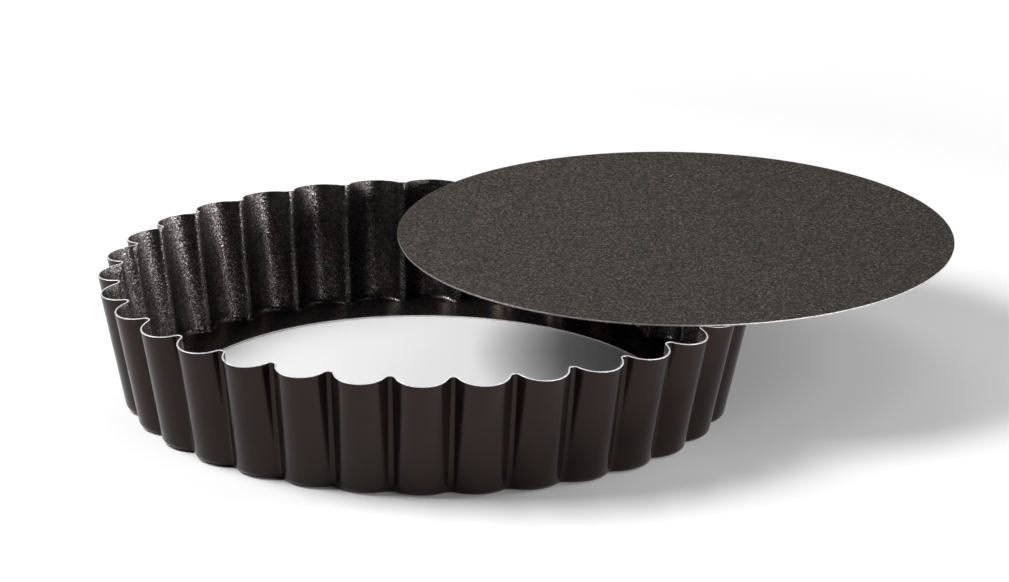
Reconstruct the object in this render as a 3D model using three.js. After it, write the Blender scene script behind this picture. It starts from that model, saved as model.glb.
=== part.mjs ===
// A fluted tart pan with a loose base, in two pieces of coated steel sheet:
// - fluted_ring: the wall, pressed into a ring of flutes, with its foot turned in to a flat ledge
//   around a large round hole;
// - loose_base: the flat disc that closes the hole when it lies on the ledge. Here it lies across
//   the rim instead, pushed to one side, and overhangs it.
// Millimetres, +Z up, standing on z = 0. The base is pushed along +X. The origin is at the bottom,
// under the middle of the box round both pieces.

import * as THREE from "three";
import { ParametricGeometry } from "three/addons/geometries/ParametricGeometry.js";

// ---------------------------------------------------------------- driving dimensions

const SHEET = 0.6; // thickness of the steel sheet
const FLUTES = 32;

// A flute is a round lobe that bulges outwards, and a narrow ridge, folded inwards, parts it from
// the next. Radii are of the middle of the sheet, at the rim and where the wall's line meets the foot.
const RIM = { lobe: 124.7, ridge: 116.8, fold: 2.1 };
const FOOT = { lobe: 114.5, ridge: 110.0, fold: 2.3 };

const HEIGHT = { lobe: 46.6, ridge: 47.9 }; // the rim stands a little higher on the ridges
const BEND = { lobe: 3.2, ridge: 1.5 }; // from the wall into the ledge, at the middle of the sheet
const HOLE_RADIUS = 93.2; // the ledge's inner edge

const BASE_RADIUS = 107.3;
const BASE_SHIFT = 107.8; // how far the base's middle is from the ring's axis
const REST_GAP = 0.3; // left between the ridges' tops and the base lying on them

const LOBE_STEPS = 4; // straight steps that stand for half of a lobe's arc
const FOLD_STEPS = 2; // and for half of a fold's arc
const BEND_STEPS = 2;
const BASE_STEPS = 128;

// ---------------------------------------------------------------- materials

const ringCoating = new THREE.MeshStandardMaterial({
  name: "ring_coating",
  color: 0x3a302d,
  roughness: 0.4,
  metalness: 0.3,
});

const baseCoating = new THREE.MeshStandardMaterial({
  name: "base_coating",
  color: 0x524c46,
  roughness: 0.65,
  metalness: 0.3,
});

// ---------------------------------------------------------------- fluted_ring

const HALF_FLUTE = Math.PI / FLUTES;
const HALF_STEPS = LOBE_STEPS + FOLD_STEPS;
const FLUTE_STEPS = 2 * HALF_STEPS;

// One flute's outline seen from above, with the middle of its lobe on +X. The lobe is one arc that
// runs smoothly into the two folds' arcs. A step counts from the lobe's middle and is negative
// clockwise of it. Returns the point and the outward direction there.
function flutePoint({ lobe, ridge, fold }, step) {
  const side = Math.sign(step);
  const foldCentre = new THREE.Vector2(
    (ridge + fold) * Math.cos(HALF_FLUTE),
    (ridge + fold) * Math.sin(HALF_FLUTE),
  );
  const reach = lobe + fold;
  const lobeCentre = (reach ** 2 - foldCentre.lengthSq()) / (2 * (reach - foldCentre.x));
  const lobeArc = Math.atan2(foldCentre.y, foldCentre.x - lobeCentre);

  if (Math.abs(step) <= LOBE_STEPS) {
    const facing = (lobeArc * step) / LOBE_STEPS;
    const outward = new THREE.Vector2(Math.cos(facing), Math.sin(facing));
    const point = new THREE.Vector2(lobeCentre, 0).addScaledVector(outward, lobe - lobeCentre);
    return { point, outward };
  }
  const along = (Math.abs(step) - LOBE_STEPS) / FOLD_STEPS;
  const facing = THREE.MathUtils.lerp(lobeArc, HALF_FLUTE, along);
  const outward = new THREE.Vector2(Math.cos(facing), side * Math.sin(facing));
  const point = new THREE.Vector2(foldCentre.x, side * foldCentre.y).addScaledVector(outward, -fold);
  return { point, outward };
}

// A size that goes from its value at the lobe to its value at the ridge as the outline comes inwards.
function betweenLobeAndRidge(size, outline, point) {
  const inwards = (outline.lobe - point.length()) / (outline.lobe - outline.ridge);
  return THREE.MathUtils.lerp(size.lobe, size.ridge, inwards);
}

// The sheet's section at one step of a flute, as a closed loop of points: out along the underside of
// the ledge, round the bend and up the outside, over the rim, and back down the inside.
function ringSection(step) {
  const rim = flutePoint(RIM, step);
  const foot = flutePoint(FOOT, step);
  const rimHeight = betweenLobeAndRidge(HEIGHT, RIM, rim.point);
  const bend = betweenLobeAndRidge(BEND, FOOT, foot.point);

  const lean = Math.atan2(
    rim.point.clone().sub(foot.point).dot(foot.outward),
    rimHeight - SHEET / 2,
  );
  const bendArc = Math.PI / 2 - lean;
  const bendCentre = foot.point
    .clone()
    .addScaledVector(foot.outward, -bend * Math.tan(bendArc / 2));

  const rimPoint = (offset) => {
    const p = rim.point.clone().addScaledVector(rim.outward, offset * Math.cos(lean));
    return new THREE.Vector3(p.x, p.y, rimHeight - offset * Math.sin(lean));
  };
  const bendPoint = (offset, share) => {
    const radius = bend + offset;
    const p = bendCentre.clone().addScaledVector(foot.outward, radius * Math.sin(share * bendArc));
    return new THREE.Vector3(p.x, p.y, SHEET / 2 + bend - radius * Math.cos(share * bendArc));
  };
  const holePoint = (height) => {
    const p = bendCentre.clone().setLength(HOLE_RADIUS);
    return new THREE.Vector3(p.x, p.y, height);
  };

  const shares = Array.from({ length: BEND_STEPS + 1 }, (_, i) => i / BEND_STEPS);
  return [
    holePoint(0),
    ...shares.map((share) => bendPoint(SHEET / 2, share)),
    rimPoint(SHEET / 2),
    rimPoint(-SHEET / 2),
    ...shares.map((share) => bendPoint(-SHEET / 2, 1 - share)),
    holePoint(SHEET),
  ];
}

function flutedRing() {
  const sections = Array.from({ length: FLUTE_STEPS }, (_, i) => ringSection(i - HALF_STEPS));
  const corners = sections[0].length;
  const around = FLUTES * FLUTE_STEPS;
  const up = new THREE.Vector3(0, 0, 1);

  const geometry = new ParametricGeometry(
    (u, v, target) => {
      const step = Math.round(u * around);
      const corner = Math.round(v * corners) % corners;
      const fluteTurn = (2 * Math.floor(step / FLUTE_STEPS) + 1) * HALF_FLUTE;
      target.copy(sections[step % FLUTE_STEPS][corner]).applyAxisAngle(up, fluteTurn);
    },
    around,
    corners,
  );

  const ring = new THREE.Mesh(geometry, ringCoating);
  ring.name = "fluted_ring";
  return ring;
}

// ---------------------------------------------------------------- loose_base

function looseBase() {
  const geometry = new THREE.CylinderGeometry(BASE_RADIUS, BASE_RADIUS, SHEET, BASE_STEPS);
  const base = new THREE.Mesh(geometry.rotateX(Math.PI / 2), baseCoating);
  base.name = "loose_base";
  base.position.set(BASE_SHIFT, 0, HEIGHT.ridge + REST_GAP + SHEET / 2);
  return base;
}

// ---------------------------------------------------------------- the pan

const pan = new THREE.Group();
pan.add(flutedRing(), looseBase());

const box = new THREE.Box3().setFromObject(pan, true);
const middle = box.getCenter(new THREE.Vector3());
pan.position.set(-middle.x, -middle.y, -box.min.z);

export default pan;
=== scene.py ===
"""A fluted tart pan in dark coated steel: the ring stands on a pale floor, and the loose base lies
across its rim. The fine meshes stand for the plain CAD solids, which they match in shape and place.
Lengths are in metres unless a name ends in MM; angles are in radians unless a name ends in DEG."""

import math

import bpy
import numpy as np
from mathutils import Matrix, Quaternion, Vector


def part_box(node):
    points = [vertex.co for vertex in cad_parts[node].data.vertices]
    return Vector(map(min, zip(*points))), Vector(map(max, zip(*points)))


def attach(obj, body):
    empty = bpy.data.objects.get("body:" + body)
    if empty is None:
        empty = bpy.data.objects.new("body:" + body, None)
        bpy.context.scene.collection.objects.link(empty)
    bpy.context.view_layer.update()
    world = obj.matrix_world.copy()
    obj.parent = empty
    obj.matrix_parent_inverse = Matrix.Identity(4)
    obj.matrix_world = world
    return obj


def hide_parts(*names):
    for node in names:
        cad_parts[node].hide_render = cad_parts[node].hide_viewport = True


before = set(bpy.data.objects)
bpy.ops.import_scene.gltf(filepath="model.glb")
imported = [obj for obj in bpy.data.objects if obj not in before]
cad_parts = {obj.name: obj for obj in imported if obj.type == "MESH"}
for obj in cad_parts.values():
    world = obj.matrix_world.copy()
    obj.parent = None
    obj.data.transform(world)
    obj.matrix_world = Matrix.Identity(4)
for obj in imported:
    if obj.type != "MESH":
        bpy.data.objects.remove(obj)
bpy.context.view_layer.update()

MM = 0.001

# ---------------------------------------------------------------- the pan's shape

SHEET = 0.6 * MM
EDGE_ROUNDING = 0.06 * MM
OUTER_RIM_ROUNDING = 0.1 * MM
FLUTES = 32
HALF_FLUTE = math.pi / FLUTES

# Radii of the middle of the sheet: a flute's round lobe, the ridge that parts it from the next one,
# and the ridge's own fold, at the rim and where the wall's line meets the foot.
RIM = {"lobe": 124.7 * MM, "ridge": 116.8 * MM, "fold": 2.1 * MM}
FOOT = {"lobe": 114.5 * MM, "ridge": 110.0 * MM, "fold": 2.3 * MM}

HEIGHT = {"lobe": 46.6 * MM, "ridge": 47.9 * MM}
BEND = {"lobe": 3.2 * MM, "ridge": 1.5 * MM}
HOLE_RADIUS = 93.2 * MM

ring_low, ring_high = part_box("fluted_ring")
base_low, base_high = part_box("loose_base")
RING_AXIS = (ring_low + ring_high) / 2
BASE_MIDDLE = (base_low + base_high) / 2
BASE_RADIUS = (base_high.x - base_low.x) / 2

# How many steps each curve or stretch of the meshes is cut into.
LOBE_STEPS = 12
FOLD_STEPS = 6
BEND_STEPS = 7
WALL_STEPS = 14
LEDGE_STEPS = 4
ROUNDING_STEPS = 3
BASE_STEPS = 512

# Where the rings of the base's flat faces lie, as shares of the faces' radius.
BASE_RINGS = (0.25, 0.5, 0.75, 0.9, 0.98)

# The places of the three coatings in a piece's list of materials.
OUTSIDE, INSIDE, EDGE = 0, 1, 2

# ---------------------------------------------------------------- node helpers


def new_material(name):
    """A material with its Principled shader, and the texture coordinates it is drawn in."""
    material = bpy.data.materials.new(name)
    material.use_nodes = True
    shader = material.node_tree.nodes["Principled BSDF"]
    place = material.node_tree.nodes.new("ShaderNodeTexCoord").outputs["Object"]
    return material, shader, place


def fill(material, node, inputs):
    """Links a node's inputs to other nodes' outputs, or sets them to plain values."""
    for name, value in inputs.items():
        if isinstance(value, bpy.types.NodeSocket):
            material.node_tree.links.new(value, node.inputs[name])
        else:
            node.inputs[name].default_value = value


def add_node(material, kind, inputs=None, **settings):
    """A node of the given kind, with its settings made and its inputs filled."""
    node = material.node_tree.nodes.new(kind)
    for name, value in settings.items():
        setattr(node, name, value)
    fill(material, node, inputs or {})
    return node


def noise(material, place, size, detail, roughness=0.5):
    """Noise whose lumps are about the given size across."""
    inputs = {"Vector": place, "Scale": 1 / size, "Detail": detail, "Roughness": roughness}
    return add_node(material, "ShaderNodeTexNoise", inputs).outputs["Fac"]


def remap(material, value, low, high, to_low, to_high):
    """Carries the range from low to high onto the range from to_low to to_high, and clamps it."""
    ends = {"From Min": low, "From Max": high, "To Min": to_low, "To Max": to_high}
    return add_node(material, "ShaderNodeMapRange", {"Value": value, **ends}).outputs["Result"]


def ramp(material, value, stops):
    """A colour ramp from a list of (position, colour)."""
    node = add_node(material, "ShaderNodeValToRGB", {"Fac": value})
    elements = node.color_ramp.elements
    while len(elements) < len(stops):
        elements.new(0.5)
    for element, (position, color) in zip(elements, stops):
        element.position = position
        element.color = (*color, 1)
    return node.outputs["Color"]


def vector_math(material, operation, *values, result="Vector"):
    """One step of vector arithmetic on the values, in the order of the node's inputs."""
    inputs = dict(enumerate(values))
    node = add_node(material, "ShaderNodeVectorMath", inputs, operation=operation)
    return node.outputs[result]


def bump(material, height, depth, over=None):
    """A bump of the given depth, on the surface or laid over another normal."""
    inputs = {"Height": height, "Distance": depth}
    if over is not None:
        inputs["Normal"] = over
    return add_node(material, "ShaderNodeBump", inputs).outputs["Normal"]


# ---------------------------------------------------------------- materials


def lacquer(name):
    """The dark lacquer on the outside: it tints what it mirrors brown, and has a little orange peel
    and faint rubbing marks."""
    material, shader, place = new_material(name)
    tint = noise(material, place, 22 * MM, detail=3.0)
    cool, warm = (0.0052, 0.0038, 0.0038), (0.0078, 0.005, 0.0042)
    color = ramp(material, tint, [(0.3, cool), (0.7, warm)])
    rubbing = noise(material, place, 7 * MM, detail=5.0, roughness=0.65)
    roughness = remap(material, rubbing, 0.3, 0.75, 0.16, 0.3)
    peel = noise(material, place, 1.6 * MM, detail=1.0)
    inputs = {
        "Base Color": color,
        "Roughness": roughness,
        "Specular IOR Level": 0.27,
        "Specular Tint": (1.0, 0.78, 0.74, 1),
        "Normal": bump(material, peel, 0.008 * MM),
    }
    fill(material, shader, inputs)
    return material


def nonstick(name, size, warm, cool, metallic, roughness, tilt):
    """The non-stick coating: flakes of the given size and of colours between warm and cool, from
    dull to bright. About a quarter aren't metallic. Each is tilted its own way, so that they
    sparkle, on a slightly lumpy surface."""
    material, shader, place = new_material(name)
    cells = add_node(material, "ShaderNodeTexVoronoi", {"Vector": place, "Scale": 1 / size})
    chance = cells.outputs["Color"]
    chances = add_node(material, "ShaderNodeSeparateColor", {"Color": chance}).outputs
    flake = ramp(material, chances["Blue"], [(0.0, warm), (1.0, cool)])
    dull, middling, bright = (0.1,) * 3, (0.36,) * 3, (0.85,) * 3
    shine = ramp(material, chances["Red"], [(0.2, dull), (0.85, middling), (1.0, bright)])
    surface = add_node(material, "ShaderNodeNewGeometry").outputs["Normal"]
    lean = vector_math(material, "SUBTRACT", chance, (0.5, 0.5, 0.5))
    leant = vector_math(material, "MULTIPLY_ADD", lean, (2 * tilt,) * 3, surface)
    facing = vector_math(material, "NORMALIZE", leant)
    lumps = noise(material, place, 2.5 * size, detail=3.0, roughness=0.6)
    inputs = {
        "Base Color": vector_math(material, "MULTIPLY", flake, shine),
        "Metallic": remap(material, chances["Red"], 0.2, 0.3, 0.0, metallic),
        "Roughness": remap(material, chances["Green"], 0, 1, *roughness),
        "Specular IOR Level": 0.08,
        "Specular Tint": (1.0, 0.9, 0.82, 1),
        "Normal": bump(material, lumps, 0.1 * size, over=facing),
    }
    fill(material, shader, inputs)
    return material


def bare_steel(name, dull, bright):
    """The sheet's cut edge: sheared steel, dull in places, with fine shear marks."""
    material, shader, place = new_material(name)
    marks = noise(material, place, 1.2 * MM, detail=4.0, roughness=0.7)
    inputs = {
        "Base Color": ramp(material, marks, [(0.3, dull), (0.6, bright)]),
        "Metallic": 0.6,
        "Roughness": remap(material, marks, 0.3, 0.7, 0.3, 0.5),
        "Normal": bump(material, marks, 0.02 * MM),
    }
    fill(material, shader, inputs)
    return material


# ---------------------------------------------------------------- fluted_ring


def flute_outline(shape):
    """One flute's outline seen from above, with the middle of its lobe on +X, as points and outward
    directions. The lobe is one arc that runs smoothly into the arcs of the two folds beside it."""
    lobe, ridge, fold = shape["lobe"], shape["ridge"], shape["fold"]
    fold_centre = (ridge + fold) * np.array([math.cos(HALF_FLUTE), math.sin(HALF_FLUTE)])
    reach = lobe + fold
    lobe_centre = (reach**2 - fold_centre @ fold_centre) / (2 * (reach - fold_centre[0]))
    lobe_arc = math.atan2(fold_centre[1], fold_centre[0] - lobe_centre)

    on_fold = np.linspace(HALF_FLUTE, lobe_arc, FOLD_STEPS, endpoint=False)
    on_lobe = np.linspace(lobe_arc, 0, LOBE_STEPS, endpoint=False)
    fold_out = np.stack([np.cos(on_fold), np.sin(on_fold)], axis=1)
    lobe_out = np.stack([np.cos(on_lobe), np.sin(on_lobe)], axis=1)
    fold_points = fold_centre - fold * fold_out
    lobe_points = [lobe_centre, 0] + (lobe - lobe_centre) * lobe_out
    left = np.concatenate([fold_points, lobe_points])
    left_out = np.concatenate([fold_out, lobe_out])

    mirror = np.array([1, -1])
    points = np.concatenate([left * mirror, [[lobe, 0]], left[:0:-1]])
    outward = np.concatenate([left_out * mirror, [[1, 0]], left_out[:0:-1]])
    return points, outward


def between_lobe_and_ridge(size, shape, points):
    """A size that goes from its value at the lobe to its value at the ridge."""
    depth = shape["lobe"] - shape["ridge"]
    inwards = (shape["lobe"] - np.linalg.norm(points, axis=1)) / depth
    return size["lobe"] + (size["ridge"] - size["lobe"]) * inwards


def between(start, end, steps):
    """Evenly spaced rows from start on, without end."""
    return [start + (end - start) * i / steps for i in range(steps)]


def ring_sections():
    """The sheet's section all along one flute, as rows of points and the coating of the faces that
    start at each row. The rows run out along the underside of the ledge, round the bend, up the
    outside, over the cut edge of the rim, down the inside, back along the ledge to the hole and
    down the hole's cut edge."""
    rim, rim_out = flute_outline(RIM)
    foot, foot_out = flute_outline(FOOT)
    rim_height = between_lobe_and_ridge(HEIGHT, RIM, rim)
    bend = between_lobe_and_ridge(BEND, FOOT, foot)
    half = SHEET / 2

    lean = np.arctan2(np.sum((rim - foot) * foot_out, axis=1), rim_height - half)
    bend_arc = math.pi / 2 - lean
    bend_centre = foot - foot_out * (bend * np.tan(bend_arc / 2))[:, None]
    hole = HOLE_RADIUS * bend_centre / np.linalg.norm(bend_centre, axis=1)[:, None]
    hole_out = hole / HOLE_RADIUS

    def bend_row(offset, share):
        """On the bend, that far outside the middle of the sheet; share 0 is at the ledge."""
        plan = bend_centre + foot_out * ((bend + offset) * np.sin(share * bend_arc))[:, None]
        return np.column_stack([plan, half + bend - (bend + offset) * np.cos(share * bend_arc)])

    def rim_row(offset, below=0.0):
        """At the rim or so far below it, that far outside the middle of the sheet."""
        plan = rim + rim_out * (offset * np.cos(lean) - below * np.sin(lean))[:, None]
        return np.column_stack([plan, rim_height - offset * np.sin(lean) - below * np.cos(lean)])

    def hole_row(outwards, height):
        return np.column_stack([hole + hole_out * outwards, np.full(len(hole), height)])

    rows = []

    def add(new_rows, coating):
        rows.extend((row, coating) for row in new_rows)

    outer, inner = OUTER_RIM_ROUNDING, EDGE_ROUNDING
    # A rounded corner's points, as shares of its radius in from the first face and from the next.
    arc = np.linspace(0, math.pi / 2, ROUNDING_STEPS + 1)
    corner = list(zip(1 - np.cos(arc), 1 - np.sin(arc)))
    bends = np.linspace(0, 1, BEND_STEPS + 1)

    add(between(hole_row(inner, 0), bend_row(half, 0), LEDGE_STEPS), OUTSIDE)
    add([bend_row(half, share) for share in bends[:-1]], OUTSIDE)
    add(between(bend_row(half, 1), rim_row(half, outer), WALL_STEPS), OUTSIDE)
    add([rim_row(half - outer * side, outer * top) for side, top in corner], EDGE)
    add([rim_row(-half + inner * side, inner * top) for side, top in corner[:0:-1]], EDGE)
    add(between(rim_row(-half, inner), bend_row(-half, 1), WALL_STEPS), INSIDE)
    add([bend_row(-half, share) for share in bends[:0:-1]], INSIDE)
    add(between(bend_row(-half, 0), hole_row(inner, SHEET), LEDGE_STEPS), INSIDE)
    add([hole_row(inner * side, SHEET - inner * top) for top, side in corner], EDGE)
    add([hole_row(inner * side, inner * bottom) for bottom, side in corner[:0:-1]], EDGE)
    return rows


def faces_between_rings(first, second):
    """Quads from one ring of vertex numbers to the next."""
    return np.stack([first, np.roll(first, -1), np.roll(second, -1), second], axis=1).tolist()


def smooth_piece(name, points, faces, coatings, materials):
    """A smooth-shaded object in the scene, with each face in its coating."""
    mesh = bpy.data.meshes.new(name)
    mesh.from_pydata(points.tolist(), [], faces)
    for material in materials:
        mesh.materials.append(material)
    mesh.polygons.foreach_set("material_index", coatings)
    mesh.polygons.foreach_set("use_smooth", np.ones(len(faces), dtype=bool))
    mesh.update()
    piece = bpy.data.objects.new(name, mesh)
    bpy.context.scene.collection.objects.link(piece)
    return piece


def make_ring():
    """The ring: one flute's section, turned round the axis once for each flute."""
    sections = ring_sections()
    flute = np.array([row for row, _ in sections])
    flutes = []
    for turn in HALF_FLUTE * (2 * np.arange(FLUTES) + 1):
        c, s = math.cos(turn), math.sin(turn)
        x = RING_AXIS.x + c * flute[:, :, 0] - s * flute[:, :, 1]
        y = RING_AXIS.y + s * flute[:, :, 0] + c * flute[:, :, 1]
        flutes.append(np.stack([x, y, flute[:, :, 2]], axis=2))
    rings = np.concatenate(flutes, axis=1)
    index = np.arange(rings.shape[0] * rings.shape[1]).reshape(rings.shape[:2])
    faces, coatings = [], []
    for row, (_, coating) in enumerate(sections):
        band = faces_between_rings(index[row], index[(row + 1) % len(sections)])
        faces += band
        coatings += [coating] * len(band)
    materials = [
        lacquer("ring_lacquer"),
        nonstick(
            "ring_nonstick",
            size=0.38 * MM,
            warm=(0.29, 0.238, 0.205),
            cool=(0.235, 0.235, 0.255),
            metallic=1.0,
            roughness=(0.24, 0.38),
            tilt=0.08,
        ),
        bare_steel("ring_cut_edge", dull=(0.6, 0.59, 0.59), bright=(0.9, 0.89, 0.89)),
    ]
    ring = smooth_piece("pan_ring", rings.reshape(-1, 3), faces, coatings, materials)
    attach(ring, "ring")
    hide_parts("fluted_ring")


# ---------------------------------------------------------------- loose_base


def make_base():
    """The flat disc: from the middle of its underside out to its slightly rounded cut edge, and
    over to the middle of its top."""
    rounding = EDGE_ROUNDING
    flat = BASE_RADIUS - rounding
    low, high = base_low.z, base_high.z
    flats = [share * flat for share in BASE_RINGS]
    arc = np.linspace(0, math.pi / 2, ROUNDING_STEPS + 1)
    outs, ups = rounding * np.sin(arc), rounding * (1 - np.cos(arc))
    profile = [(radius, low, OUTSIDE) for radius in flats]
    profile += [(flat + out, low + up, EDGE) for out, up in zip(outs, ups)]
    profile += [(flat + out, high - up, EDGE) for out, up in zip(outs[:0:-1], ups[:0:-1])]
    profile += [(flat, high, INSIDE)]
    profile += [(radius, high, INSIDE) for radius in flats[::-1]]

    angles = np.linspace(0, 2 * math.pi, BASE_STEPS, endpoint=False)
    circle = np.stack([np.cos(angles), np.sin(angles), np.zeros(BASE_STEPS)], axis=1)
    centre = [BASE_MIDDLE.x, BASE_MIDDLE.y]
    rings = [circle * radius + [*centre, height] for radius, height, _ in profile]
    points = np.concatenate([*rings, [[*centre, low], [*centre, high]]])
    index = np.arange(len(rings) * BASE_STEPS).reshape(len(rings), BASE_STEPS)
    under_middle, top_middle = len(points) - 2, len(points) - 1

    def beside(ring):
        return zip(ring, np.roll(ring, -1))

    faces = [(under_middle, second, first) for first, second in beside(index[0])]
    coatings = [OUTSIDE] * len(faces)
    for row, (_, _, coating) in enumerate(profile[:-1]):
        faces += faces_between_rings(index[row], index[row + 1])
        coatings += [coating] * BASE_STEPS
    faces += [(first, second, top_middle) for first, second in beside(index[-1])]
    coatings += [INSIDE] * BASE_STEPS
    materials = [
        lacquer("base_lacquer"),
        nonstick(
            "base_nonstick",
            size=0.6 * MM,
            warm=(0.19, 0.158, 0.123),
            cool=(0.145, 0.137, 0.132),
            metallic=0.2,
            roughness=(0.5, 0.65),
            tilt=0.12,
        ),
        bare_steel("base_cut_edge", dull=(0.2, 0.19, 0.19), bright=(0.5, 0.49, 0.49)),
    ]
    base = smooth_piece("pan_base", points, faces, coatings, materials)
    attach(base, "base")
    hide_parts("loose_base")


# ---------------------------------------------------------------- floor, lights and camera

CAMERA_AZIMUTH_DEG = -27.94
CAMERA_ELEVATION_DEG = 18.5
CAMERA_ROLL = 0.0128
CAMERA_DISTANCE = 3.046
CAMERA_AIM = RING_AXIS.xy.to_3d() + Vector((17.18, -30.47, 48.56)) * MM
LENS_MM = 288.1
SENSOR_WIDTH_MM = 36
FARTHEST_SEEN = 100

FLOOR_HALF_WIDTH = 12.0
FLOOR_DEPTH = 0.05 * MM
FLOOR_GREY = 0.9
# Painted light: the floor's glow grows from nothing at GLOW_STARTS to FULL_GLOW at GLOW_IS_FULL
# metres from the pan's axis.
GLOW_STARTS, GLOW_IS_FULL = 0.4, 1.4
FULL_GLOW = 0.95
WORLD_GREY = 0.95

# Name, azimuth to the right of the camera and elevation in degrees, distance from the middle of the
# frame, width, height, and power in watts.
SOFTBOXES = [
    ("key_left", -90, 48, 1.2, 0.7, 0.45, 15.5),
    ("mid_left", -90, 28, 1.2, 0.42, 0.42, 3),
    ("low_right", 98, 12, 1.2, 1.1, 0.42, 7),
    ("front_right", 46, 10, 1.2, 0.85, 0.32, 12),
    ("mid_right", 90, 34, 1.2, 0.42, 0.42, 3),
    ("high_right", 110, 62, 1.2, 0.5, 0.5, 1),
    ("high_back", 180, 50, 1.2, 0.5, 0.5, 1.2),
    ("white_backdrop", -172, 18, 1.5, 0.8, 0.45, 1),
]


def back_vector(azimuth_deg, elevation_deg):
    """From the object towards a viewer there; azimuth 0 looks along +Y and 90 degrees along -X."""
    azimuth, elevation = math.radians(azimuth_deg), math.radians(elevation_deg)
    flat = math.cos(elevation)
    return Vector((math.sin(azimuth) * flat, -math.cos(azimuth) * flat, math.sin(elevation)))


def make_camera():
    camera = bpy.data.objects.new("camera", bpy.data.cameras.new("camera"))
    camera.data.lens = LENS_MM
    camera.data.sensor_width = SENSOR_WIDTH_MM
    camera.data.clip_end = FARTHEST_SEEN
    back = back_vector(CAMERA_AZIMUTH_DEG, CAMERA_ELEVATION_DEG)
    camera.location = CAMERA_AIM + back * CAMERA_DISTANCE
    camera.rotation_mode = "QUATERNION"
    upright = (-back).to_track_quat("-Z", "Y")
    camera.rotation_quaternion = upright @ Quaternion((0, 0, 1), CAMERA_ROLL)
    bpy.context.scene.collection.objects.link(camera)
    bpy.context.scene.camera = camera


def make_floor():
    """A pale studio floor, a hair below the pan, that glows softly away from it: painted light,
    standing in for the light on a lit sweep."""
    half = FLOOR_HALF_WIDTH
    mesh = bpy.data.meshes.new("floor")
    corners = [(-half, -half, 0), (half, -half, 0), (half, half, 0), (-half, half, 0)]
    mesh.from_pydata(corners, [], [(0, 1, 2, 3)])
    material, shader, place = new_material("floor")
    away = vector_math(material, "DISTANCE", place, RING_AXIS.xy.to_3d(), result="Value")
    inputs = {
        "Base Color": (*(FLOOR_GREY,) * 3, 1),
        "Roughness": 0.6,
        "Specular IOR Level": 0.2,
        "Emission Color": (1, 1, 1, 1),
        # Painted light: the floor glows more the farther it lies from the pan.
        "Emission Strength": remap(material, away, GLOW_STARTS, GLOW_IS_FULL, 0.0, FULL_GLOW),
    }
    fill(material, shader, inputs)
    mesh.materials.append(material)
    floor = bpy.data.objects.new("floor", mesh)
    floor.location.z = -FLOOR_DEPTH
    bpy.context.scene.collection.objects.link(floor)


def softbox(name, azimuth_deg, elevation_deg, distance, width, height, power):
    """An area light that faces the pan, seen in reflections but not by the camera."""
    light = bpy.data.lights.new(name, "AREA")
    light.shape = "RECTANGLE"
    light.size = width
    light.size_y = height
    light.energy = power
    lamp = bpy.data.objects.new(name, light)
    back = back_vector(CAMERA_AZIMUTH_DEG + azimuth_deg, elevation_deg)
    lamp.location = back * distance
    lamp.rotation_mode = "QUATERNION"
    lamp.rotation_quaternion = back.to_track_quat("Z", "Y")
    lamp.visible_camera = False
    bpy.context.scene.collection.objects.link(lamp)


def make_light():
    """The softboxes, and a world that is pale to the camera and gives no light."""
    world = bpy.data.worlds.new("studio")
    bpy.context.scene.world = world
    world.use_nodes = True
    background = world.node_tree.nodes["Background"]
    background.inputs["Color"].default_value = (*(WORLD_GREY,) * 3, 1)
    seen = world.node_tree.nodes.new("ShaderNodeLightPath").outputs["Is Camera Ray"]
    world.node_tree.links.new(seen, background.inputs["Strength"])
    for settings in SOFTBOXES:
        softbox(*settings)


bpy.context.scene.view_settings.view_transform = "Standard"
make_camera()
make_floor()
make_light()
make_ring()
make_base()
